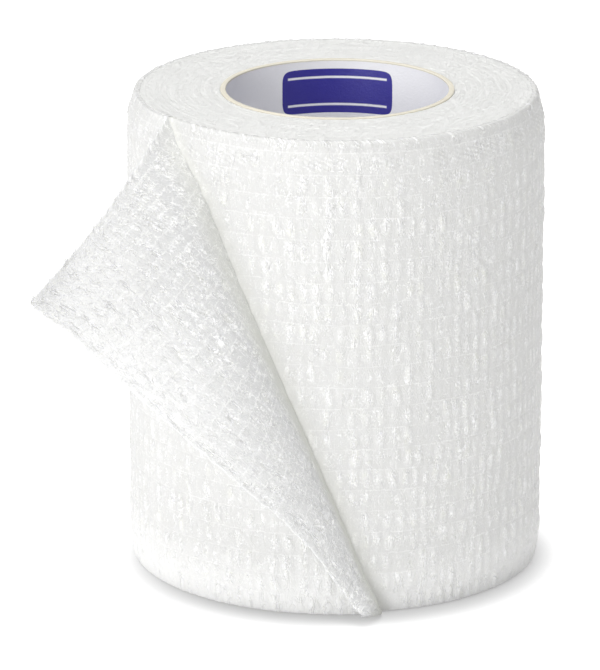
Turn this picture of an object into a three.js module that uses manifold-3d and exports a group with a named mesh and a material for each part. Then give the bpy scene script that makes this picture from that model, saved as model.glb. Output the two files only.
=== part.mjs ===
// A roll of cohesive crepe bandage, wound on a paper tube and stood on its end.
// The top corner of the last turn is peeled off and folded back over a slanting line.
// Millimetres, +Z up. The roll's axis is vertical, its front faces -Y, and the strip comes
// from behind, round the left side, to the front. The origin is the middle of the base of the
// box that holds the roll and its loose corner.

import * as THREE from "three";
import { mergeVertices } from "three/addons/utils/BufferGeometryUtils.js";
import Module from "manifold-3d";

// Driving dimensions: the roll and its tube.
const BANDAGE_WIDTH = 80;
const ROLL_RADIUS = 34.9; // over the last turn, where it leaves the roll
const LAYER = 1.0; // one thickness of the crepe, and so the step under the last turn
const TUBE_RADIUS = 19.3; // outside of the paper tube
const TUBE_WALL = 0.9;
const WINDING_GAP = 0.3; // between the tube and the first turn
const RIM_HEIGHT = 7; // how far down the wound face the edges are drawn in
const TOP_RIM_DRAW = 1.4;
const LOW_RIM_DRAW = 0.8;

// Driving dimensions: the last turn and its loose corner. Places along the strip are measured
// round the roll from the middle of its front, to the right.
const CUT_END = 3.0; // where the strip's cut end would lie on the roll
const PEEL_TOP = -34.2; // where a straight line of leaving the roll would meet its top edge
const PEEL_BOW = 1.55; // how far the line where the strip leaves bows to the right of that
const PEEL_HOOK = 4.4; // how far that line hooks back to the left at the top edge
const HOOK_REACH = 18.4; // how far down the hook reaches
const TIP_LENGTH = 1.2; // the part of the lowest row that is lifted
const CURL_RADIUS = 83; // of the gentle curl beyond the fold
const TOP_DROP = 2.9; // how much lower the rows by the top edge fall just beyond the fold
const DROP_RUN = 4.4;
const DROP_REACH = 22;

// The way in which a row of the loose corner runs after the fold: degrees from straight left
// towards the front, degrees below level, and the radius with which the strip's middle turns
// over, for places down the strip's width.
const ROW_WAYS = [
  { down: 0, forward: 71.1, droop: 23.9, fold: 2.0 },
  { down: 0.5, forward: 24.2, droop: 54.6, fold: 1.8 },
  { down: 1, forward: 7.2, droop: 65.3, fold: 1.3 },
];

// Fineness of the faces.
const TURN_STEPS = 72;
const ROW_STEPS = 18;
const BORE_STEPS = 64;
const RIM_LEVELS = [0, 0.14, 0.36, 0.66]; // shares of the rim's height
const MIDDLE_LEVELS = 14;

const UP = new THREE.Vector3(0, 0, 1);
const wasm = await Module();
wasm.setup();

// How far the wound face is drawn in at a height.
function drawnIn(height) {
  const top = Math.max(0, 1 - (BANDAGE_WIDTH - height) / RIM_HEIGHT);
  const low = Math.max(0, 1 - height / RIM_HEIGHT);
  return TOP_RIM_DRAW * top ** 2 + LOW_RIM_DRAW * low ** 2;
}

// The outward direction at an angle round the roll, from its front to the right.
function outward(angle) {
  return new THREE.Vector3(Math.sin(angle), -Math.cos(angle), 0);
}

// The angle at which the strip leaves the roll, at a share of its width from the top.
function peelAngle(down) {
  const straight = PEEL_TOP + (CUT_END - PEEL_TOP) * down;
  const hook = PEEL_HOOK * Math.max(0, 1 - (BANDAGE_WIDTH * down) / HOOK_REACH) ** 2;
  return (straight + PEEL_BOW * 4 * down * (1 - down) - hook) / ROLL_RADIUS;
}

// The smooth curve through a table's three rows.
function through(rows, key, down) {
  const [a, b, c] = rows.map((row) => row[key]);
  return a * (1 - down) * (1 - 2 * down) + b * 4 * down * (1 - down) + c * down * (2 * down - 1);
}

// The unit direction of a row of the loose corner after the fold.
function rowWay(down) {
  const forward = THREE.MathUtils.degToRad(through(ROW_WAYS, "forward", down));
  const droop = THREE.MathUtils.degToRad(through(ROW_WAYS, "droop", down));
  const level = new THREE.Vector3(-Math.cos(forward), -Math.sin(forward), 0);
  return level.multiplyScalar(Math.cos(droop)).addScaledVector(UP, -Math.sin(droop));
}

// The middle of one row of the loose corner: it leaves the roll along its face, turns over in
// the fold, and runs on with a slight curl to the cut end.
function rowMiddle(down) {
  const angle = peelAngle(down);
  const height = BANDAGE_WIDTH * (1 - down);
  const onward = new THREE.Vector3(Math.cos(angle), Math.sin(angle), 0);
  const way = rowWay(down);
  const over = way.clone().addScaledVector(onward, -way.dot(onward)).normalize();
  const across = onward.clone().cross(over).cross(way);
  const turn = onward.angleTo(way);
  const fold = through(ROW_WAYS, "fold", down);
  const length = Math.max(CUT_END - angle * ROLL_RADIUS, TIP_LENGTH);
  const nearTop = Math.max(0, 1 - (BANDAGE_WIDTH - height) / DROP_REACH) ** 2;
  const start = outward(angle).multiplyScalar(ROLL_RADIUS - LAYER / 2 - drawnIn(height));
  const points = [];
  for (let i = 0; i <= ROW_STEPS; i++) {
    const along = length * (i / ROW_STEPS) ** 2;
    const bent = Math.min(along / fold, turn);
    const rest = Math.max(along - fold * turn, 0);
    start.z = height - TOP_DROP * nearTop * (1 - Math.exp(-((along / DROP_RUN) ** 2)));
    points.push(
      start
        .clone()
        .addScaledVector(onward, fold * Math.sin(bent))
        .addScaledVector(over, fold * (1 - Math.cos(bent)))
        .addScaledVector(way, rest)
        .addScaledVector(across, rest ** 2 / (2 * CURL_RADIUS)),
    );
  }
  return points;
}

// The places of the rows down the strip's width, closer together where the edges are drawn in.
function rowPlaces() {
  const rim = RIM_LEVELS.map((share) => (share * RIM_HEIGHT) / BANDAGE_WIDTH);
  const first = RIM_HEIGHT / BANDAGE_WIDTH;
  const middle = Array.from(
    { length: MIDDLE_LEVELS + 1 },
    (_, i) => first + ((1 - 2 * first) * i) / MIDDLE_LEVELS,
  );
  return [...rim, ...middle, ...rim.map((share) => 1 - share).reverse()];
}

// The two faces of the loose corner, half a thickness either side of its middle.
function cornerFaces(places) {
  const middles = places.map(rowMiddle);
  const half = LAYER / 2;
  return middles.map((row, r) => {
    const before = middles[Math.max(r - 1, 0)];
    const after = middles[Math.min(r + 1, middles.length - 1)];
    const outer = [];
    const inner = [];
    row.forEach((point, i) => {
      const alongRow = row[Math.min(i + 1, ROW_STEPS)].clone().sub(row[Math.max(i - 1, 0)]);
      const downRows = after[i].clone().sub(before[i]);
      const normal = downRows.cross(alongRow).normalize();
      if (i === 0) normal.copy(outward(peelAngle(places[r])));
      for (const [face, side] of [[outer, half], [inner, -half]]) {
        const corner = point.clone().addScaledVector(normal, side);
        corner.z = i === 0 ? point.z : THREE.MathUtils.clamp(corner.z, 0, BANDAGE_WIDTH);
        face.push(corner);
      }
    });
    return { outer, inner };
  });
}

// One closed loop of points at each row: out along the inner face of the loose corner, back
// along its outer face, then round the roll against the way of winding, one layer in by the end.
function woundLoops(places) {
  return cornerFaces(places).map(({ outer, inner }, r) => {
    const height = BANDAGE_WIDTH * (1 - places[r]);
    const round = [];
    for (let i = 1; i < TURN_STEPS; i++) {
      const turned = i / TURN_STEPS;
      const radius = ROLL_RADIUS - LAYER * turned - drawnIn(height);
      const point = outward(peelAngle(places[r]) - 2 * Math.PI * turned).multiplyScalar(radius);
      point.z = height;
      round.push(point);
    }
    return [...inner, ...outer.reverse(), ...round];
  });
}

// Triangles of one end: the free edge of the loose corner, and the flat face of the winding.
function endFaces(loop, offset, middle, flip) {
  const faces = [];
  const last = ROW_STEPS;
  const start = 2 * last + 1; // the outer face's point where the strip leaves the roll
  for (let i = 0; i < last; i++) {
    const [a, b, c, d] = [i, i + 1, start - i - 1, start - i];
    faces.push([a, b, c], [a, c, d]);
  }
  faces.push([0, start, start + 1], [middle, 0, start + 1]);
  for (let i = start + 1; i < loop.length; i++) faces.push([middle, i, (i + 1) % loop.length]);
  return faces.map((face) => {
    const placed = face.map((index) => (index === middle ? middle : index + offset));
    return flip ? placed.reverse() : placed;
  });
}

// The winding with its loose corner, not yet bored for the tube.
function woundSolid() {
  const loops = woundLoops(rowPlaces());
  const count = loops[0].length;
  const points = loops.flat();
  const faces = [];
  for (let r = 0; r + 1 < loops.length; r++) {
    for (let i = 0; i < count; i++) {
      const next = (i + 1) % count;
      const [a, b, c, d] = [r * count + i, r * count + next, (r + 1) * count + next, (r + 1) * count + i];
      faces.push([a, b, c], [a, c, d]);
    }
  }
  const top = points.push(new THREE.Vector3(0, 0, BANDAGE_WIDTH)) - 1;
  const low = points.push(new THREE.Vector3(0, 0, 0)) - 1;
  faces.push(...endFaces(loops[0], 0, top, true));
  faces.push(...endFaces(loops.at(-1), (loops.length - 1) * count, low, false));
  return new wasm.Manifold(
    new wasm.Mesh({
      numProp: 3,
      vertProperties: new Float32Array(points.flatMap((point) => point.toArray())),
      triVerts: new Uint32Array(faces.flat()),
    }),
  );
}

// A closed three.js geometry as a manifold-3d solid.
function solidOf(geometry) {
  geometry.deleteAttribute("normal");
  geometry.deleteAttribute("uv");
  const merged = mergeVertices(geometry, 1e-4);
  return new wasm.Manifold(
    new wasm.Mesh({
      numProp: 3,
      vertProperties: new Float32Array(merged.attributes.position.array),
      triVerts: new Uint32Array(merged.index.array),
    }),
  );
}

// A manifold-3d solid as a three.js geometry.
function geometryOf(solid) {
  const mesh = solid.getMesh();
  const geometry = new THREE.BufferGeometry();
  geometry.setAttribute("position", new THREE.BufferAttribute(mesh.vertProperties, 3));
  geometry.setIndex(new THREE.BufferAttribute(mesh.triVerts, 1));
  geometry.computeVertexNormals();
  return geometry;
}

// The wound bandage: one solid from the first turn to the loose corner.
function bandage() {
  const bore = new THREE.CylinderGeometry(
    TUBE_RADIUS + WINDING_GAP,
    TUBE_RADIUS + WINDING_GAP,
    BANDAGE_WIDTH + 2 * LAYER,
    BORE_STEPS,
  );
  bore.rotateX(Math.PI / 2).translate(0, 0, BANDAGE_WIDTH / 2);
  const crepe = new THREE.MeshStandardMaterial({ color: 0xf1f1ee, roughness: 0.85, metalness: 0 });
  const mesh = new THREE.Mesh(geometryOf(woundSolid().subtract(solidOf(bore))), crepe);
  mesh.name = "bandage";
  return mesh;
}

// The paper tube that the bandage is wound on, cut flush with its two edges.
function coreTube() {
  const section = [
    new THREE.Vector2(TUBE_RADIUS - TUBE_WALL, 0),
    new THREE.Vector2(TUBE_RADIUS, 0),
    new THREE.Vector2(TUBE_RADIUS, BANDAGE_WIDTH),
    new THREE.Vector2(TUBE_RADIUS - TUBE_WALL, BANDAGE_WIDTH),
    new THREE.Vector2(TUBE_RADIUS - TUBE_WALL, 0),
  ];
  const paper = new THREE.MeshStandardMaterial({ color: 0xe9e8ec, roughness: 0.45, metalness: 0 });
  const mesh = new THREE.Mesh(new THREE.LatheGeometry(section, BORE_STEPS).rotateX(Math.PI / 2), paper);
  mesh.name = "core_tube";
  return mesh;
}

const roll = new THREE.Group();
roll.add(bandage(), coreTube());
const middle = new THREE.Box3().setFromObject(roll).getCenter(new THREE.Vector3());
roll.position.set(-middle.x, -middle.y, 0);

export default roll;
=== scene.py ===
"""A roll of cohesive crepe bandage on a paper tube, stood on its end, with the top corner of its last
turn peeled off and folded back. Metres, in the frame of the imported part."""

import math

import bmesh
import bpy
import numpy as np
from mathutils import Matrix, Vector


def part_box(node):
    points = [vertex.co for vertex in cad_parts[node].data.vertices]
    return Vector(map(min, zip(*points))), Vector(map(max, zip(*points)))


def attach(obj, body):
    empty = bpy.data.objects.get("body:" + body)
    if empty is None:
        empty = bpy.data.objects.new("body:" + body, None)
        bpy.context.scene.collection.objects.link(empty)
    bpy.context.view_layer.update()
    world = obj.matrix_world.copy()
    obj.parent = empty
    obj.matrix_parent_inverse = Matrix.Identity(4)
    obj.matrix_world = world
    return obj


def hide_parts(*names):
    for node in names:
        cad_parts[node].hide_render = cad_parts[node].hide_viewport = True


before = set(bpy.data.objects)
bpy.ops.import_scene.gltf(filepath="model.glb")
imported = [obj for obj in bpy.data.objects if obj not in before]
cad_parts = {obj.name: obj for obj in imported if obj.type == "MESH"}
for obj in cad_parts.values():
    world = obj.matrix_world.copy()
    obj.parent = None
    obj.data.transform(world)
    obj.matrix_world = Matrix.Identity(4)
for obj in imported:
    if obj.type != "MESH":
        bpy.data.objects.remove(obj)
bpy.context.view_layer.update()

# The paper tube: strips of pulp wound into a tube, lined with smooth white paper and cut off square.
# Its cut edges show the plies. A plain block of colour is printed on the lining.
TUBE_LOW, TUBE_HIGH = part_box("core_tube")
AXIS = (TUBE_LOW + TUBE_HIGH) / 2
AXIS.z = 0
STRIP_WIDTH = TUBE_HIGH.z
TUBE_RADIUS = (TUBE_HIGH.x - TUBE_LOW.x) / 2
TUBE_WALL = 0.0009
TUBE_ROUNDING = 0.00016
TUBE_STEPS = 256
CUT_BAND = 0.00028  # how far the cream of the cut edge shows down the wall
PLY = 0.00022
FIBRE_SCALE = 2600.0
MOTTLE_SCALE = 260.0
PRINT_TOP = STRIP_WIDTH - 0.0016
PRINT_HEIGHT = 0.0076
PRINT_HALF_ANGLE = math.radians(30)
PRINT_SQUARE_ROUND, PRINT_SQUARE_DOWN = 14.0, 5.0  # how square the block's corners are
BARE_LINE = 0.62  # from the block's middle to each bare line, as a share of its half height
BARE_LINE_HALF = 0.03
BARE_LINE_ENDS = (0.88, 0.9)  # shares of the block's half angle
PRINT_INK = (0.036, 0.03, 0.30, 1)
LINING = (0.92, 0.92, 0.955, 1)
LINING_MOTTLE = (0.94, 0.94, 0.965, 1)
CUT_PULP = (0.70, 0.655, 0.54, 1)
PALE_PULP = (0.83, 0.80, 0.71, 1)


class Value:
    """One output of a shader node. Python's operators on it add Math nodes."""

    def __init__(self, finish, socket):
        self.finish = finish
        self.socket = socket

    def maths(self, operation, other=None, turned=False):
        sides = [self] if other is None else [other, self] if turned else [self, other]
        return self.finish.node("ShaderNodeMath", {"operation": operation}, dict(enumerate(sides)))

    def __add__(self, other):
        return self.maths("ADD", other)

    def __radd__(self, other):
        return self.maths("ADD", other, turned=True)

    def __sub__(self, other):
        return self.maths("SUBTRACT", other)

    def __rsub__(self, other):
        return self.maths("SUBTRACT", other, turned=True)

    def __mul__(self, other):
        return self.maths("MULTIPLY", other)

    def __truediv__(self, other):
        return self.maths("DIVIDE", other)

    def __pow__(self, other):
        return self.maths("POWER", other)

    def size(self):
        return self.maths("ABSOLUTE")

    def wave(self):
        return self.maths("SINE")

    def part(self):
        return self.maths("FRACT")


class Finish:
    """A material under its own name, with its Principled shader and one way to add any node."""

    def __init__(self, name, **fixed):
        self.material = bpy.data.materials.new(name)
        self.material.use_nodes = True
        self.tree = self.material.node_tree
        self.shader = self.tree.nodes["Principled BSDF"]
        for socket, value in fixed.items():
            self.shader.inputs[socket.replace("_", " ")].default_value = value

    def node(self, kind, settings=None, inputs=None, output=0):
        made = self.tree.nodes.new(kind)
        for name, value in (settings or {}).items():
            setattr(made, name, value)
        for name, value in (inputs or {}).items():
            self.feed(made.inputs[name], value)
        return Value(self, made.outputs[output])

    def feed(self, socket, value):
        if isinstance(value, Value):
            self.tree.links.new(value.socket, socket)
        else:
            socket.default_value = value

    def surface(self, **inputs):
        for name, value in inputs.items():
            self.feed(self.shader.inputs[name.replace("_", " ")], value)

    def mix(self, share, first, second):
        settings = {"data_type": "RGBA", "clamp_factor": True}
        return self.node("ShaderNodeMix", settings, {0: share, 6: first, 7: second}, output=2)

    def between(self, value, low, high, out_low=0.0, out_high=1.0):
        inputs = {0: value, 1: low, 2: high, 3: out_low, 4: out_high}
        return self.node("ShaderNodeMapRange", {"interpolation_type": "SMOOTHSTEP"}, inputs)

    def noise(self, place, scale, detail=2.0, roughness=0.5, distortion=0.0):
        inputs = {"Vector": place, "Scale": scale, "Detail": detail, "Roughness": roughness}
        return self.node("ShaderNodeTexNoise", None, {**inputs, "Distortion": distortion})

    def stretched(self, place, scale):
        return self.node("ShaderNodeMapping", None, {"Vector": place, "Scale": scale})

    def bump(self, height, depth):
        return self.node("ShaderNodeBump", None, {"Height": height, "Distance": depth, "Strength": 1.0})


def piece(name, bm, finish):
    """Turns a finished bmesh into a smooth-shaded object that rides on the roll's one body."""
    mesh = bpy.data.meshes.new(name)
    bm.to_mesh(mesh)
    bm.free()
    mesh.polygons.foreach_set("use_smooth", [True] * len(mesh.polygons))
    made = bpy.data.objects.new(name, mesh)
    bpy.context.scene.collection.objects.link(made)
    made.data.materials.append(finish.material)
    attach(made, "root")
    return made


def tube_paper():
    paper = Finish("tube paper", Roughness=0.38, Specular_IOR_Level=0.5)
    place = paper.node("ShaderNodeTexCoord", None, None, output=3)
    centred = paper.node("ShaderNodeMapping", None, {"Vector": place, "Location": tuple(-AXIS)})
    axes = paper.node("ShaderNodeSeparateXYZ", None, {0: centred})
    x, y, z = (Value(paper, socket) for socket in axes.socket.node.outputs)
    radius = paper.node("ShaderNodeVectorMath", {"operation": "LENGTH"}, {0: paper.node(
        "ShaderNodeCombineXYZ", None, {"X": x, "Y": y})}, output=1)
    from_end = (z - STRIP_WIDTH / 2).size() - STRIP_WIDTH / 2
    fibres = paper.noise(centred, FIBRE_SCALE, 3.0, 0.6)
    mottle = paper.noise(centred, MOTTLE_SCALE, 2.0, 0.5)
    cut = paper.between(from_end + fibres * 0.00012, -CUT_BAND, -CUT_BAND * 0.5)
    plies = ((radius * (2 * math.pi / PLY) + fibres * 2.0).wave() * 0.5 + 0.5) * 0.35
    pulp = paper.mix(plies + mottle * 0.4, CUT_PULP, PALE_PULP)
    lining = paper.mix(mottle * 0.5, LINING, LINING_MOTTLE)
    # the printed block: a rounded rectangle on the far wall, with two thin lines left bare
    angle = paper.node("ShaderNodeMath", {"operation": "ARCTAN2"}, {0: x, 1: y})
    across = (angle / PRINT_HALF_ANGLE).size()
    middle = PRINT_TOP - PRINT_HEIGHT / 2
    down = ((z - middle) / (PRINT_HEIGHT / 2)).size()
    corner = across**PRINT_SQUARE_ROUND + down**PRINT_SQUARE_DOWN + fibres * 0.06
    ink = paper.between(corner, 1.0, 1.08, 1.0, 0.0)
    line = (down - BARE_LINE).size() - BARE_LINE_HALF
    inset = paper.between(line + fibres * 0.01, 0.0, 0.05)
    ends = paper.between(across, *BARE_LINE_ENDS)
    printed = ink * (inset + ends - inset * ends)
    surface = paper.mix(printed, lining, PRINT_INK)
    paper.surface(
        Base_Color=paper.mix(cut, surface, pulp),
        Roughness=0.34 + cut * 0.5 + fibres * 0.08,
        Normal=paper.bump(fibres + mottle * 0.6, 0.00006),
    )
    return paper


def paper_tube():
    bm = bmesh.new()
    radii = (TUBE_RADIUS - TUBE_WALL, TUBE_RADIUS)
    corners = [(radii[0], 0), (radii[1], 0), (radii[1], STRIP_WIDTH), (radii[0], STRIP_WIDTH)]
    section = [bm.verts.new(AXIS + Vector((r, 0, z))) for r, z in corners]
    for i in range(4):
        bm.edges.new((section[i], section[(i + 1) % 4]))
    bmesh.ops.bevel(
        bm, geom=section, offset=TUBE_ROUNDING, segments=4, profile=0.5, affect="VERTICES", material=-1
    )
    bmesh.ops.spin(
        bm, geom=bm.verts[:] + bm.edges[:], cent=AXIS, axis=(0, 0, 1), angle=2 * math.pi,
        steps=TUBE_STEPS, use_merge=True,
    )
    bmesh.ops.remove_doubles(bm, verts=bm.verts[:], dist=1e-7)
    bmesh.ops.recalc_face_normals(bm, faces=bm.faces[:])
    tube = piece("paper_tube", bm, tube_paper())
    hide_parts("core_tube")


paper_tube()

# The last turn: a loose white weave drawn into upright ribs and pinched at each stretch thread. It
# comes from behind, round the left side, to the slanting line where its corner is peeled off. It
# starts one layer lower, so it passes under that line. Its edges are rounded over.
ROLL_RADIUS = 0.0349
LAYER = 0.001
RIB_PITCH = 0.0021
COURSE = 0.00355  # from one stretch thread to the next
COURSE_ROWS = (0.0, 0.085, 0.28, 0.5, 0.72, 0.915)
PUCKER_HEIGHT = 0.00035
WANDER, SHORT_WANDER = 1.3, 0.5  # how many ribs' widths the ribs stray in wide and narrow patches
ROW_SHIFT = 0.35  # how far the ribs of one course stand beside those of the next
LEAN = 0.24
RIB_SHARPNESS = 1.15
BELLY = 0.38  # how much lower a rib is at its ends than in the middle of its course
LEAST_FULL, FULL_SPREAD = 0.2, 0.9
PINCH = 0.4
PINCH_REACH = 0.0005  # how far beside a stretch thread the ribs are flattened
SWELL, LUMP, RISE = 0.2, 0.12, 0.1
EDGE_RELIEF = 0.6  # the share of its relief that the crepe keeps at its edges
BEAD_DEPTH = 0.0003  # how far the edge dips between the ends of the ribs
SWAY = 0.0003
SWAY_FROM_EDGE = 0.008  # from here inwards the threads sway fully
ROW_MARGIN = 0.0006  # no row of faces comes closer to an edge than this
SELVEDGE = 0.0012  # how wide the plainer weave is along each edge
RIM_HEIGHT = 0.007
TOP_RIM_DRAW = 0.0014
LOW_RIM_DRAW = 0.0005
PEEL_TOP = -0.02983  # along the roll's face from the middle of the front, in all of these
PEEL_LOW = 0.00697
PEEL_BOW = 0.00181
PEEL_HOOK = 0.00508  # how far the peel line hooks back to the left at the top edge
HOOK_REACH = 0.0135
PEEL_THICKNESS = 0.0003  # the layer is drawn thin where it is pulled off
PEEL_RAMP = 0.003
PEEL_DRAW = 0.0004  # how far the strip draws up the turn beneath where it leaves it
PEEL_DRAW_RUN = 0.0009
SHADED_RUN = 0.0036  # how far beside the peel line the turn beneath is drawn smooth and darkened with painted shade
EDGE_ROWS = 5
TURN_COLUMNS = 632
UNDERLAP = math.radians(5)
TABLE = 257  # the random values along each side of a table of patches
CURL_STRETCH = (1.5, 0.6, 1.0)
CREASE_STRETCH = (0.7, 0.9, 1.0)
CREPE_BUMP, CRUMPLE_BUMP = 0.00012, 0.00008
# painted shade darkens the cloth along its top edge, and painted light brightens it above its base
TOP_SHADE_REACH, BASE_LIGHT_REACH = 5.0, 12.0  # millimetres of the strip
TOP_PAINTED_SHADE = (0.66, 0.66, 0.65, 1)
BASE_PAINTED_LIGHT = (0.96, 0.96, 0.95, 1)
# painted light: the loose corner's inner face is paler far from the bend
FAR_PAINTED_LIGHT = (0.90, 0.90, 0.895, 1)
# painted shade in the creases of the loose crepe
CREASE_SHADE = (0.55, 0.553, 0.556, 1)
THREAD_TONE = (0.97, 0.97, 0.965, 1)


def patches(along, down, size, seed):
    """Smooth random values from 0 to 1, in patches of a size along and across the strip."""
    table = np.random.default_rng(seed).random((TABLE, TABLE))
    a, d = along / size[0], down / size[1]
    ia, jd = np.floor(a).astype(int), np.floor(d).astype(int)
    fa, fd = a - ia, d - jd
    fa, fd = fa * fa * (3 - 2 * fa), fd * fd * (3 - 2 * fd)
    ia, ib, jd, je = ia % TABLE, (ia + 1) % TABLE, jd % TABLE, (jd + 1) % TABLE
    near = table[ia, jd] * (1 - fa) + table[ib, jd] * fa
    far = table[ia, je] * (1 - fa) + table[ib, je] * fa
    return near * (1 - fd) + far * fd


def pucker(along, height):
    """How far the crepe stands proud, from 0 to about 1, at a place on the flat strip."""
    course = height / COURSE
    row = np.floor(course)
    thread_gap = np.minimum(course - row, row + 1 - course) * COURSE
    wander = WANDER * patches(along, height, (0.016, 0.034), 3)
    wander = wander + SHORT_WANDER * patches(along, height, (0.0045, 0.007), 5)
    phase = along / RIB_PITCH + wander + ROW_SHIFT * patches(row, row, (1, 1), 6)
    cell = np.round(phase)
    lean = LEAN * (patches(cell, row, (1, 1), 8) - 0.5)
    leaned = phase - cell + lean * (course - row - 0.5)
    rib = (0.5 + 0.5 * np.cos(2 * np.pi * leaned)) ** RIB_SHARPNESS
    belly = 1 - BELLY + BELLY * np.sin(np.pi * (course - row))
    fullness = LEAST_FULL + FULL_SPREAD * patches(cell, row, (1, 1), 7)
    hold = PINCH + PINCH * patches(along, row, (0.004, 1), 9)
    pinch = 1 - hold * np.exp(-((thread_gap / PINCH_REACH) ** 2))
    swell = patches(along, height, (0.009, 0.014), 17) - 0.5
    lumps = patches(along, height, (0.0009, 0.0013), 19) - 0.5
    edge = np.clip(np.minimum(height, STRIP_WIDTH - height) / SELVEDGE, 0, 1)
    relief = rib * belly * fullness * pinch * (EDGE_RELIEF + (1 - EDGE_RELIEF) * edge)
    return relief + SWELL * swell + LUMP * lumps + RISE


def drawn_in(height):
    top = np.clip(1 - (STRIP_WIDTH - height) / RIM_HEIGHT, 0, 1)
    low = np.clip(1 - height / RIM_HEIGHT, 0, 1)
    return TOP_RIM_DRAW * top**2 + LOW_RIM_DRAW * low**2


def peel_angle(height):
    down = np.clip(1 - height / STRIP_WIDTH, 0, 1)
    hook = PEEL_HOOK * np.clip(1 - (STRIP_WIDTH - height) / HOOK_REACH, 0, 1) ** 2
    return (PEEL_TOP + (PEEL_LOW - PEEL_TOP) * down + PEEL_BOW * 4 * down * (1 - down) - hook) / ROLL_RADIUS


def outward(angle):
    return np.stack([np.sin(angle), -np.cos(angle), 0 * angle], -1)


def course_heights():
    """Heights of the rows of faces, from the top edge down: closer together at each stretch thread."""
    rows = [COURSE * (i + share) for i in range(24) for share in COURSE_ROWS]
    inside = [h for h in rows if ROW_MARGIN < h < STRIP_WIDTH - ROW_MARGIN]
    return np.array([STRIP_WIDTH - LAYER / 2] + inside[::-1] + [LAYER / 2])


HEIGHTS = course_heights()


def swayed(along, height):
    """The height of a stretch thread, which runs a little unevenly along the strip."""
    edge = np.clip(np.minimum(height, STRIP_WIDTH - height) / SWAY_FROM_EDGE, 0, 1)
    return height + SWAY * edge * 2 * (patches(along, height, (0.008, 0.011), 23) - 0.5)


def cloth_grid(columns, rows):
    """A flat stretch of cloth as a grid, with each point's share along it and down it."""
    bm = bmesh.new()
    bmesh.ops.create_grid(bm, x_segments=columns, y_segments=rows, size=1.0)
    flat = np.array([vertex.co for vertex in bm.verts])
    return bm, (flat[:, 0] + 1) / 2, (1 - flat[:, 1]) / 2


def move_to(bm, places):
    for vertex, place in zip(bm.verts, places):
        vertex.co = place


def mark_cloth(made, along, height, relief):
    """Gives each point its place on the flat strip, in millimetres, and its pucker."""
    mesh = made.data
    corners = np.zeros(len(mesh.loops), int)
    mesh.loops.foreach_get("vertex_index", corners)
    layer = mesh.uv_layers.new(name="strip")
    places = np.stack([along[corners] * 1000, height[corners] * 1000], 1)
    layer.data.foreach_set("uv", places.astype(np.float32).ravel())
    mark_points(made, "pucker", relief)


def mark_points(made, name, values):
    attribute = made.data.attributes.new(name, "FLOAT", "POINT")
    attribute.data.foreach_set("value", values.astype(np.float32))


def weld(made):
    """Joins the points where a piece's two faces meet at its edges, and turns its faces outwards."""
    bm = bmesh.new()
    bm.from_mesh(made.data)
    bmesh.ops.remove_doubles(bm, verts=bm.verts[:], dist=2e-6)
    bmesh.ops.recalc_face_normals(bm, faces=bm.faces[:])
    bm.to_mesh(made.data)
    bm.free()


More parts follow.
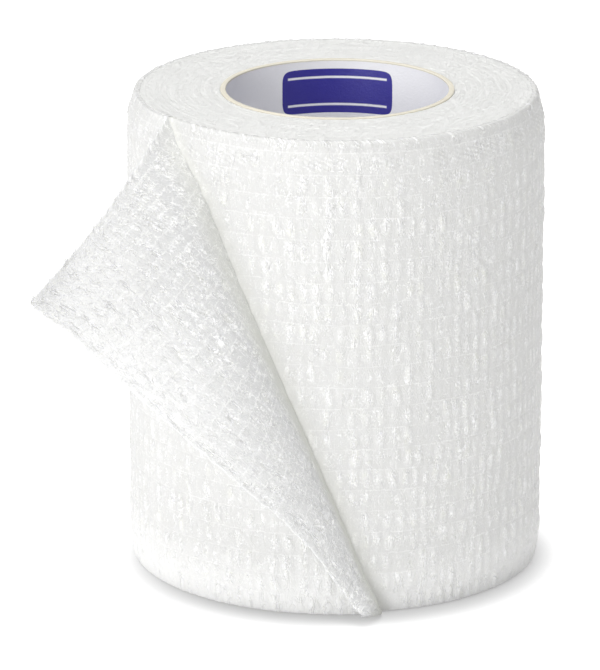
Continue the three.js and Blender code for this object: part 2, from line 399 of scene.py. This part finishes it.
def crepe_finish(name, valley_shaded, ridge, drawn, crumple_and_crease_shade):
    """The crepe: smooth valleys, painted darker as shade, and ridges where curled filaments stand up and
    glint. Where it hangs loose it is crumpled as well, with painted shade in the creases between its
    threads. Where it is drawn smooth beside the bend it is darkened with painted shade. Light passes a
    little way through it, so its shadows are soft."""
    crepe = Finish(name, Specular_IOR_Level=0.4, Subsurface_Weight=0.3)
    crepe.surface(Subsurface_Scale=0.0007, Subsurface_Radius=(1.0, 1.0, 0.92))
    flat = crepe.node("ShaderNodeUVMap", {"uv_map": "strip"})
    relief = crepe.node("ShaderNodeAttribute", {"attribute_name": "pucker"}, None, output=2)
    axes = crepe.node("ShaderNodeSeparateXYZ", None, {0: flat})
    along, down = (Value(crepe, socket) for socket in axes.socket.node.outputs[:2])
    patch = crepe.noise(flat, 0.5, 2.0, 0.6)
    standing = crepe.between(relief, 0.2, 0.8)
    busy = crepe.between(relief * 0.5 + patch, 0.55, 0.95)
    curls = crepe.noise(crepe.stretched(flat, CURL_STRETCH), 1.0, 0.5, 0.5, 1.1)
    curl = crepe.between((curls - 0.5).size(), 0.0, 0.09, 1.0, 0.0)
    grain = crepe.noise(flat, 3.4, 1.0, 0.5)
    thread_gap = ((down / (COURSE * 1000) + curls * 0.08 + 0.5).part() - 0.5).size()
    stretch = crepe.between(thread_gap, 0.0, 0.045, 1.0, 0.0) * crepe.between(patch, 0.4, 0.6, 0.2, 1.0)
    spark = crepe.between(grain + curl * 0.12 + busy * 0.08, 0.62, 0.74) * (busy * 0.75 + 0.25)
    warm = crepe.between(crepe.noise(flat, 0.3, 2.0, 0.6), 0.5, 0.65)
    tinted = crepe.mix(warm * 0.6, ridge, (ridge[0], ridge[1] * 1.004, ridge[2] * 0.94, 1))
    # painted shade: the valleys are darker than the ridges, with random tone from the patches
    cloth = crepe.mix(standing * 0.8 + patch * 0.2, valley_shaded, tinted)
    if crumple_and_crease_shade:
        far = crepe.node("ShaderNodeAttribute", {"attribute_name": "far_painted_light"}, None, output=2)
        # painted light: the inner face turns paler far from the bend
        cloth = crepe.mix(far * 0.85, cloth, FAR_PAINTED_LIGHT)
        creases = crepe.noise(crepe.stretched(flat, CREASE_STRETCH), 1.0, 2.0, 0.6, 0.9)
        crease_shade = crepe.between((creases - 0.5).size(), 0.0, 0.05, 1.0, 0.0)
        crease_shade = crease_shade * crepe.between(grain, 0.35, 0.6)
        # painted shade in the creases, as much as the crumple share says
        cloth = crepe.mix(crease_shade * crumple_and_crease_shade, cloth, CREASE_SHADE)
        # bright threads cross it both ways, with breaks in them, two across it to a course
        wavy = curls * 0.7 + patch * 0.9
        beside = ((along / (RIB_PITCH * 1000) + wavy).part() - 0.5).size()
        below = ((down / (COURSE * 500) + wavy * 0.8).part() - 0.5).size()
        net = crepe.between(beside, 0.0, 0.13, 1.0, 0.0) * crepe.between(grain, 0.4, 0.55)
        net = net + crepe.between(below, 0.0, 0.13, 1.0, 0.0) * crepe.between(grain, 0.6, 0.45)
        stretch = stretch * 0.5 + net
    else:
        # painted shade along the top edge, and painted light above the base
        top_shade = crepe.between(down, STRIP_WIDTH * 1000 - TOP_SHADE_REACH, STRIP_WIDTH * 1000)
        base_light = crepe.between(down, 0.0, BASE_LIGHT_REACH, 0.75, 0.0)
        cloth = crepe.mix(top_shade * 0.8, cloth, TOP_PAINTED_SHADE)
        cloth = crepe.mix(base_light, cloth, BASE_PAINTED_LIGHT)
    # painted shade: where the cloth is drawn smooth beside the bend, its colour is darkened to the drawn
    # one
    smooth_and_shade = crepe.node("ShaderNodeAttribute", {"attribute_name": "drawn_smooth_shade"}, None, output=2)
    threaded = crepe.mix(curl * (busy * 0.6 + 0.15) + stretch * 0.45, cloth, THREAD_TONE)
    sparked = crepe.mix(spark, threaded, (1, 1, 1, 1))
    standing_up = (curl * (busy * 0.8 + 0.2) + stretch * 0.2 + grain * 0.12) * (1 - smooth_and_shade)
    crepe.surface(
        Base_Color=crepe.mix(smooth_and_shade, sparked, drawn),
        Roughness=0.62 - spark * 0.36,
        Normal=crepe.bump(standing_up, CREPE_BUMP + crumple_and_crease_shade * CRUMPLE_BUMP),
    )
    return crepe


# the third colour is painted shade, for the smooth cloth beside the peel line
CREPE = crepe_finish("crepe", (0.69, 0.69, 0.68, 1), (0.80, 0.80, 0.79, 1), (0.69, 0.692, 0.655, 1), 0.0)


def last_turn():
    past_edge = EDGE_ROWS - 1  # rows that go on over the edge to the inner side
    rows = len(HEIGHTS) - 1 + 2 * (EDGE_ROWS + past_edge)
    bm, share, down_share = cloth_grid(TURN_COLUMNS, rows)
    row = np.rint(down_share * rows).astype(int) - EDGE_ROWS - past_edge
    thread = HEIGHTS[np.clip(row, 0, len(HEIGHTS) - 1)]
    # rows beyond the first and last go over the rounded edge, a share of a right angle at a time
    above = np.clip(-row, 0, None) * math.pi / 2 / EDGE_ROWS
    below = np.clip(row - len(HEIGHTS) + 1, 0, None) * math.pi / 2 / EDGE_ROWS
    turned = share * (2 * math.pi + UNDERLAP)
    along = (peel_angle(thread) - turned) * ROLL_RADIUS
    height = swayed(along, thread) + LAYER / 2 * (np.sin(above) - np.sin(below))
    relief = pucker(along, thread)
    proud = PUCKER_HEIGHT * (relief - 0.5)
    radius = ROLL_RADIUS - LAYER * turned / (2 * math.pi) - drawn_in(height) + proud
    radius = radius - LAYER / 2 * (1 - np.cos(above + below))
    ramp = np.clip(1 - turned * ROLL_RADIUS / PEEL_RAMP, 0, 1)
    radius = radius - (LAYER - PEEL_THICKNESS) * ramp**2 * (3 - 2 * ramp)
    # the turn beneath clings to the strip as it leaves, so it is drawn up along the peel line
    before = (2 * math.pi - turned) * ROLL_RADIUS
    drawn = np.exp(-((before / np.where(before > 0, PEEL_DRAW_RUN, PEEL_DRAW_RUN / 6)) ** 2))
    radius = radius + PEEL_DRAW * drawn
    # painted shade: the turn beneath is darkened beside the peel line, where the bend shades it
    smooth_and_shade = np.clip(1 - before / SHADED_RUN, 0, 1) ** 1.5 * (before > 0)
    places = np.array(AXIS) + radius[:, None] * outward(peel_angle(height) - turned)
    bead = BEAD_DEPTH * (1 - np.clip(relief, 0, 1))
    places[:, 2] = np.clip(height, bead * np.sin(below), STRIP_WIDTH - bead * np.sin(above))
    move_to(bm, places)
    bmesh.ops.recalc_face_normals(bm, faces=bm.faces[:])
    made = piece("last_turn", bm, CREPE)
    mark_cloth(made, along, thread, relief)
    mark_points(made, "drawn_smooth_shade", smooth_and_shade)
    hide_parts("bandage")


last_turn()

# The turns beneath, of which only the edges show, at the top and on the base: one strip wound from
# the tube outwards. Its soft edges lie side by side, some a little higher, with a fuzz of loops.
FIRST_TURN_GAP = 0.00003
END_DETAIL = {1: (500, 9), -1: (250, 6)}  # columns in a turn and rows over an edge, top and base
EDGE_DROP = 0.0009
EDGE_SAG = 0.00003
EDGE_LIP = 0.00005
EDGE_UNEVEN = 0.00007
FUZZ = 0.00008
MEAN_RADIUS = 0.028
EDGE_BUMP = 0.00011
EDGE_DULL = (0.89, 0.895, 0.875, 1)
EDGE_WHITE = (0.93, 0.93, 0.915, 1)
LOOP_TONE = (0.95, 0.95, 0.94, 1)
GLINT_TONE = (1.0, 1.0, 0.99, 1)


def wound_face():
    fuzzy = Finish("crepe edge", Roughness=0.75, Specular_IOR_Level=0.35)
    place = fuzzy.node("ShaderNodeTexCoord", None, None, output=3)
    grains = fuzzy.noise(place, 1500.0, 3.0, 0.65)
    loops = fuzzy.noise(place, 2300.0, 2.0, 0.5, 1.6)
    loop = fuzzy.between((loops - 0.5).size(), 0.0, 0.04, 1.0, 0.0)
    patch = fuzzy.noise(place, 140.0, 2.0, 0.6)
    white = fuzzy.mix(patch, EDGE_DULL, EDGE_WHITE)
    glint = fuzzy.between(grains + loop * 0.25, 0.66, 0.8)
    fuzzy.surface(
        Base_Color=fuzzy.mix(glint, fuzzy.mix(loop * 0.4, white, LOOP_TONE), GLINT_TONE),
        Roughness=0.75 - glint * 0.3,
        Normal=fuzzy.bump(grains * 0.8 + loop * 0.5, EDGE_BUMP),
    )
    return fuzzy


def wound_edges(end, finish):
    columns, rows = END_DETAIL[end]
    on_tube = TUBE_RADIUS + FIRST_TURN_GAP
    turns = (ROLL_RADIUS - LAYER - on_tube) / LAYER
    bm, share, down_share = cloth_grid(round(columns * turns), rows)
    turned = 1 + share * turns
    angle = peel_angle(np.full_like(share, STRIP_WIDTH if end > 0 else 0)) - 2 * np.pi * turned
    across = 2 * down_share - 1  # from the outer side of a turn to its inner side
    outer = ROLL_RADIUS - LAYER * turned
    radius = outer + (np.maximum(outer - LAYER, on_tube) - outer) * (across + 1) / 2
    squeeze = np.clip((radius - TUBE_RADIUS) / (ROLL_RADIUS - TUBE_RADIUS), 0, 1) ** 2
    radius = radius - (TOP_RIM_DRAW if end > 0 else LOW_RIM_DRAW) * squeeze
    along = turned * 2 * np.pi * MEAN_RADIUS
    uneven = patches(along, 0 * along, (0.013, 1), 31) + 0.6 * patches(along, 0 * along, (0.0035, 1), 37)
    x, y = radius * np.sin(angle) + 1, radius * np.cos(angle) + 1
    fuzz = patches(x, y, (0.0007, 0.0007), 41) + 0.7 * patches(x, y, (0.0004, 0.0004), 43)
    drop = EDGE_LIP + EDGE_SAG * np.abs(across) ** 3 + EDGE_UNEVEN * uneven * (1 - across**4) + FUZZ * fuzz
    # the outermost edge goes down behind the last turn, and the innermost one beside the tube
    brim = (turned < 2) & (across < -0.999) | (turned > turns) & (across > 0.999)
    drop = np.where(brim, EDGE_DROP, drop)
    places = np.array(AXIS) + radius[:, None] * outward(angle)
    places[:, 2] = STRIP_WIDTH - drop if end > 0 else drop
    move_to(bm, places)
    bmesh.ops.recalc_face_normals(bm, faces=bm.faces[:])
    up = sum(face.normal.z * face.calc_area() for face in bm.faces)
    if up * end < 0:
        bmesh.ops.reverse_faces(bm, faces=bm.faces[:])
    name = "wound_edges_top" if end > 0 else "wound_edges_base"
    made = piece(name, bm, finish)
    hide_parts("bandage")


edge_finish = wound_face()
wound_edges(1, edge_finish)
wound_edges(-1, edge_finish)

# The loose corner of the last turn: the strip leaves the roll along the slanting line in a tight
# bend, rises from it in a wide one and hangs back to the left, so that its inner face shows. It
# ends at the slanting cut end. It is the same crepe, thinner where nothing presses on it, in a copy
# of its finish painted darker as shade and paler with painted light far from the bend.
CORNER_COLUMNS = 150
CLOSER = 1.5  # above 1, the columns stand closer together near the bend
FREE_THICKNESS = 0.0005
THICKENING = 0.004  # how far beyond the peel line the strip is as thick as that
FREE_PUCKER = 0.8  # how much of its pucker is left where nothing holds it
SMOOTH_RUN = 0.0036  # over which the smooth cloth beside the bend passes into puckers
SMOOTH_REACH = 1.7  # where that ends, in runs beyond the peel line
SMOOTH_LOSS = 0.7  # how much of it is lost towards the top edge
FAR_START, FAR_RUN = 0.004, 0.024  # where painted light begins to make the inner face paler, and over how far
HOLD = 0.0001  # within this of the peel line, the corner's faces turn to face as the roll's do
END_SHARE = 0.02  # the share of the columns that rounds the cut end
STEP = 0.00002
LEAST_HEIGHT = 0.0001
CUT_END = 0.01298
CUT_SLANT = 0.005  # how much shorter the strip is at its top edge
TIP_LENGTH = 0.0012
TIGHT_BEND = 0.00025
CURL_TOP = 8.0  # how sharply the strip still curls past its bends, as one over the radius
CURL_LOW = 30.0
RAGGED = 0.00035
# down the width: degrees from straight left to the front and degrees below level, then how many
# degrees the wide bend turns, and its radius
ROW_WAYS = [
    (0.0, 65.1, 28.6, 5.0, 0.0117),
    (0.5, 9.6, 36.9, 65.1, 0.0211),
    (1.0, 24.2, -3.1, 102.0, 0.0020),
]


def through(column, down):
    a, b, c = (row[column] for row in ROW_WAYS)
    return a * (1 - down) * (1 - 2 * down) + b * 4 * down * (1 - down) + c * down * (2 * down - 1)


def unit(vectors):
    return vectors / np.linalg.norm(vectors, axis=-1, keepdims=True)


def dot(a, b):
    return (a * b).sum(-1, keepdims=True)


def folded(beyond, height):
    """The middle of the loose corner, at a distance beyond the line where it leaves the roll."""
    down = np.clip(1 - height / STRIP_WIDTH, 0, 1)
    angle = peel_angle(height)
    forward, droop = np.radians(through(1, down)), np.radians(through(2, down))
    way = np.stack([-np.cos(forward) * np.cos(droop), -np.sin(forward) * np.cos(droop), -np.sin(droop)], -1)
    onward = np.stack([np.cos(angle), np.sin(angle), 0 * angle], -1)
    over = unit(way - dot(way, onward) * onward)
    across = np.cross(np.cross(onward, over), way)
    turn = np.arccos(np.clip(dot(onward, way), -1, 1))
    start = outward(angle) * (ROLL_RADIUS - LAYER + PEEL_THICKNESS / 2 - drawn_in(height))[:, None]
    start[:, 2] = height
    beyond = beyond[:, None]
    wide = np.minimum(np.radians(through(3, down))[:, None], turn * 0.8)
    radius = through(4, down)[:, None]
    tight = turn - wide
    bent = np.minimum(beyond / TIGHT_BEND, tight)
    rising = tight + np.clip((beyond - TIGHT_BEND * tight) / radius, 0, wide)
    rest = np.clip(beyond - TIGHT_BEND * tight - radius * wide, 0, None)
    along = TIGHT_BEND * np.sin(bent) + radius * (np.sin(rising) - np.sin(tight))
    away = TIGHT_BEND * (1 - np.cos(bent)) + radius * (np.cos(tight) - np.cos(rising))
    curl = (CURL_TOP + (CURL_LOW - CURL_TOP) * down)[:, None]
    return start + along * onward + away * over + rest * way + rest**2 / 2 * curl * across


# painted shade: the loose corner's colours are darker than the roll's, and the third one is the painted
# shade beside the bend
shaded_loose_crepe = crepe_finish(
    "loose crepe painted shaded", (0.56, 0.562, 0.564, 1), (0.69, 0.692, 0.692, 1), (0.59, 0.594, 0.555, 1), 0.6
)


def loose_corner():
    rows = len(HEIGHTS) - 1 + 2 * EDGE_ROWS
    bm, share, down_share = cloth_grid(2 * CORNER_COLUMNS, rows)
    row = np.rint(down_share * rows).astype(int) - EDGE_ROWS
    thread = HEIGHTS[np.clip(row, 0, len(HEIGHTS) - 1)]
    # the first half of the columns is the outer face, out to the cut end; the rest the inner face, back
    side = np.where((share <= 0.5) | (share > 0.9999), 1.0, -1.0)
    out = 1 - np.abs(2 * share - 1)
    above = np.clip(-row, 0, None) * math.pi / 2 / EDGE_ROWS
    below = np.clip(row - len(HEIGHTS) + 1, 0, None) * math.pi / 2 / EDGE_ROWS
    start = peel_angle(thread) * ROLL_RADIUS
    ragged = RAGGED * patches(0 * thread, thread, (1, 0.0008), 51) * np.clip(thread / 0.01, 0, 1)
    cut = CUT_END - CUT_SLANT * thread / STRIP_WIDTH
    length = np.maximum(cut - start - ragged, TIP_LENGTH)
    body = np.clip(out / (1 - END_SHARE), 0, 1) ** CLOSER
    cut_angle = np.clip((out - (1 - END_SHARE)) / END_SHARE, 0, 1) * math.pi / 2
    thickened = np.clip(body * length / THICKENING, 0, 1)
    thickness = PEEL_THICKNESS + (FREE_THICKNESS - PEEL_THICKNESS) * thickened
    beyond = body * (length - thickness / 2) + thickness / 2 * np.sin(cut_angle)
    along = start + beyond
    height = swayed(along, thread) + thickness / 2 * (np.sin(above) - np.sin(below))
    # the edges are thinner here than on the roll, and still reach the strip's full width
    from_edge = np.where(above > 0, -1, np.where(below > 0, 1, 0))
    height = np.clip(height + (thickness - LAYER) / 2 * from_edge, 0, STRIP_WIDTH)
    middle = folded(beyond, height)
    ahead = folded(beyond + STEP, height) - folded(np.maximum(beyond - STEP, 0), height)
    lower = folded(beyond, height - STEP) - folded(beyond, height + STEP)
    normal = unit(np.cross(lower, ahead))
    radial = outward(peel_angle(height))
    hold = np.clip(1 - beyond / HOLD, 0, 1)[:, None]
    normal = unit(normal * (1 - hold) + radial * hold)
    relief = pucker(along, thread)
    near_top = np.clip(1.6 * thread / STRIP_WIDTH - 0.6, 0, 1)
    smooth_and_shade = np.clip(SMOOTH_REACH - beyond / SMOOTH_RUN, 0, 1) * (1 - SMOOTH_LOSS * near_top)
    smooth_and_shade = smooth_and_shade * (0.8 + 0.4 * patches(along, thread, (0.0012, 0.0016), 61))
    proud = PUCKER_HEIGHT * FREE_PUCKER * np.clip(1 - smooth_and_shade, 0, 1) * (relief - 0.5)
    offset = side * thickness / 2 * np.cos(above + below) * np.cos(cut_angle)
    places = np.array(AXIS) + middle + normal * (offset + proud)[:, None]
    places[:, 2] = np.clip(places[:, 2], LEAST_HEIGHT, None)
    move_to(bm, places)
    made = piece("loose_corner", bm, shaded_loose_crepe)
    mark_cloth(made, along, thread, relief)
    mark_points(made, "drawn_smooth_shade", smooth_and_shade)
    mark_points(made, "far_painted_light", np.clip((beyond - FAR_START) / FAR_RUN, 0, 1))
    weld(made)
    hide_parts("bandage")


loose_corner()

# The plain floor, the camera at the photograph's angle with its long lens, and the soft light of a
# studio: one broad light from the left, one from the front, one overhead and a pale surround.
EYE_DISTANCE = 1.0
EYE_DOWN = math.radians(17.37)
EYE_TURN = math.radians(0.369)
EYE_AIM = 0.03731
EYE_LENS = 322.0
SENSOR = 36.0
# the floor glows a little, as if lit from below, but less in a soft ring close to the roll, mostly before
# it: a painted contact shadow
SHADE = (0.30, 0.30, 0.30, 1)
SHADE_SHIFT = (0.0006, -0.0042, 0.0)
SHADE_IN = 0.0295
SHADE_OUT = 0.041
FLOOR_GLOW = 1.06
SURROUND = 0.18
LIT_POINT = Vector((0, 0, 0.04))
LIGHTS = {  # place, power and size
    "left": ((-1.25, -0.51, 0.4), 4.3, 0.6),
    "front": ((-0.62, -1.19, 0.4), 5.6, 0.5),
    "overhead": ((0.0, -0.2, 1.4), 17.8, 1.0),
}


def floor():
    bm = bmesh.new()
    bmesh.ops.create_grid(bm, x_segments=1, y_segments=1, size=4.0)
    mesh = bpy.data.meshes.new("floor")
    bm.to_mesh(mesh)
    bm.free()
    made = bpy.data.objects.new("floor", mesh)
    bpy.context.scene.collection.objects.link(made)
    white = Finish("floor white", Base_Color=(0.3, 0.3, 0.3, 1), Roughness=0.9, Specular_IOR_Level=0.0)
    place = white.node("ShaderNodeTexCoord", None, None, output=3)
    ends = {0: place, 1: tuple(AXIS + Vector(SHADE_SHIFT))}
    distance = white.node("ShaderNodeVectorMath", {"operation": "DISTANCE"}, ends, output=1)
    # painted contact shadow: the glow is dimmed to the shade close to the roll
    glow = white.between(distance, SHADE_IN, SHADE_OUT)
    white.surface(Emission_Color=white.mix(glow, SHADE, (1, 1, 1, 1)), Emission_Strength=FLOOR_GLOW)
    made.data.materials.append(white.material)


def camera():
    lens = bpy.data.cameras.new("camera")
    lens.lens = EYE_LENS
    lens.sensor_width = SENSOR
    lens.clip_end = 20
    made = bpy.data.objects.new("camera", lens)
    back, up = EYE_DISTANCE * math.cos(EYE_DOWN), EYE_DISTANCE * math.sin(EYE_DOWN)
    made.location = AXIS + Vector((0, -back, EYE_AIM + up))
    made.rotation_euler = (math.pi / 2 - EYE_DOWN, 0, EYE_TURN)
    bpy.context.scene.collection.objects.link(made)
    bpy.context.scene.camera = made


def soft_light(name, place, power, size):
    light = bpy.data.lights.new(name, "AREA")
    light.energy = power
    light.size = size
    made = bpy.data.objects.new(name, light)
    made.location = place
    made.rotation_euler = (LIT_POINT - Vector(place)).to_track_quat("-Z", "Y").to_euler()
    bpy.context.scene.collection.objects.link(made)


floor()
camera()
for light_name, (light_place, light_power, light_size) in LIGHTS.items():
    soft_light(light_name, light_place, light_power, light_size)
world = bpy.data.worlds.new("surround")
world.use_nodes = True
background = world.node_tree.nodes["Background"]
background.inputs["Color"].default_value = (1, 1, 1, 1)
background.inputs["Strength"].default_value = SURROUND
bpy.context.scene.world = world
bpy.context.scene.view_settings.view_transform = "Standard"
